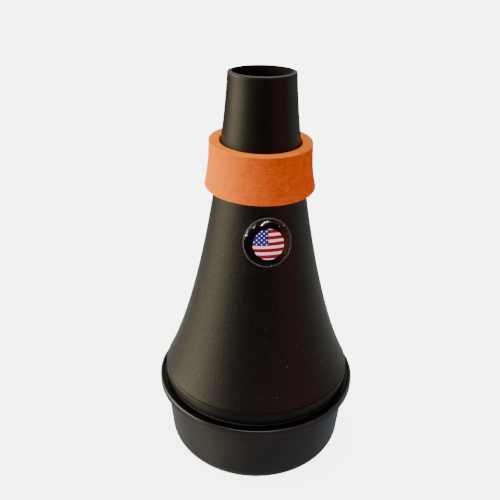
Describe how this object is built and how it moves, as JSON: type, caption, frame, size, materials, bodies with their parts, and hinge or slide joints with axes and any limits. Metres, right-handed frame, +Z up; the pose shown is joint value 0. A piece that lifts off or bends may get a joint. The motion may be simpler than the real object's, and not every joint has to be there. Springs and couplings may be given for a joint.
{
  "type": "trumpet practice mute",
  "caption": "Flared black practice mute with an open neck, a sponge rubber sealing ring, a cup closing the wide end and a perforated tube inside.",
  "frame": {"origin": "centre of the underside of the base, on the axis", "axes": "+Z up along the axis towards the neck; -Y towards the badge"},
  "size_m": [0.0884, 0.0884, 0.1688],
  "materials": {
    "black_moulding": "fine moulded grain, low sheen",
    "satin_black_moulding": "smooth satin",
    "black_rubber": "matt",
    "natural_plastic": "satin",
    "black_tube_plastic": "satin",
    "charcoal_foam": "open-cell foam",
    "grey_felt": "pressed felt",
    "turned_brass": "turned",
    "orange_sponge_rubber": "fine closed-cell sponge",
    "printed_label": "gloss print",
    "clear_resin": "clear, polished"
  },
  "bodies": {
    "mute": {"bell_shell": "black_moulding", "base_cup": "satin_black_moulding", "joint_gasket": "black_rubber", "baffle_plate": "natural_plastic", "throat_tube": "black_tube_plastic", "tube_end_plug": "natural_plastic", "neck_bush": "black_tube_plastic", "damping_sleeve": "charcoal_foam", "floor_pad": "grey_felt", "vent_bush": "turned_brass", "badge_label": "printed_label", "badge_dome": "clear_resin"},
    "seal_ring": {"seal_ring": "orange_sponge_rubber"}
  },
  "joints": [
    {"name": "ring_slide", "type": "slide", "parent": "mute", "child": "seal_ring", "axis": [0, 0, 1], "range_m": [0, 0.055]}
  ]
}
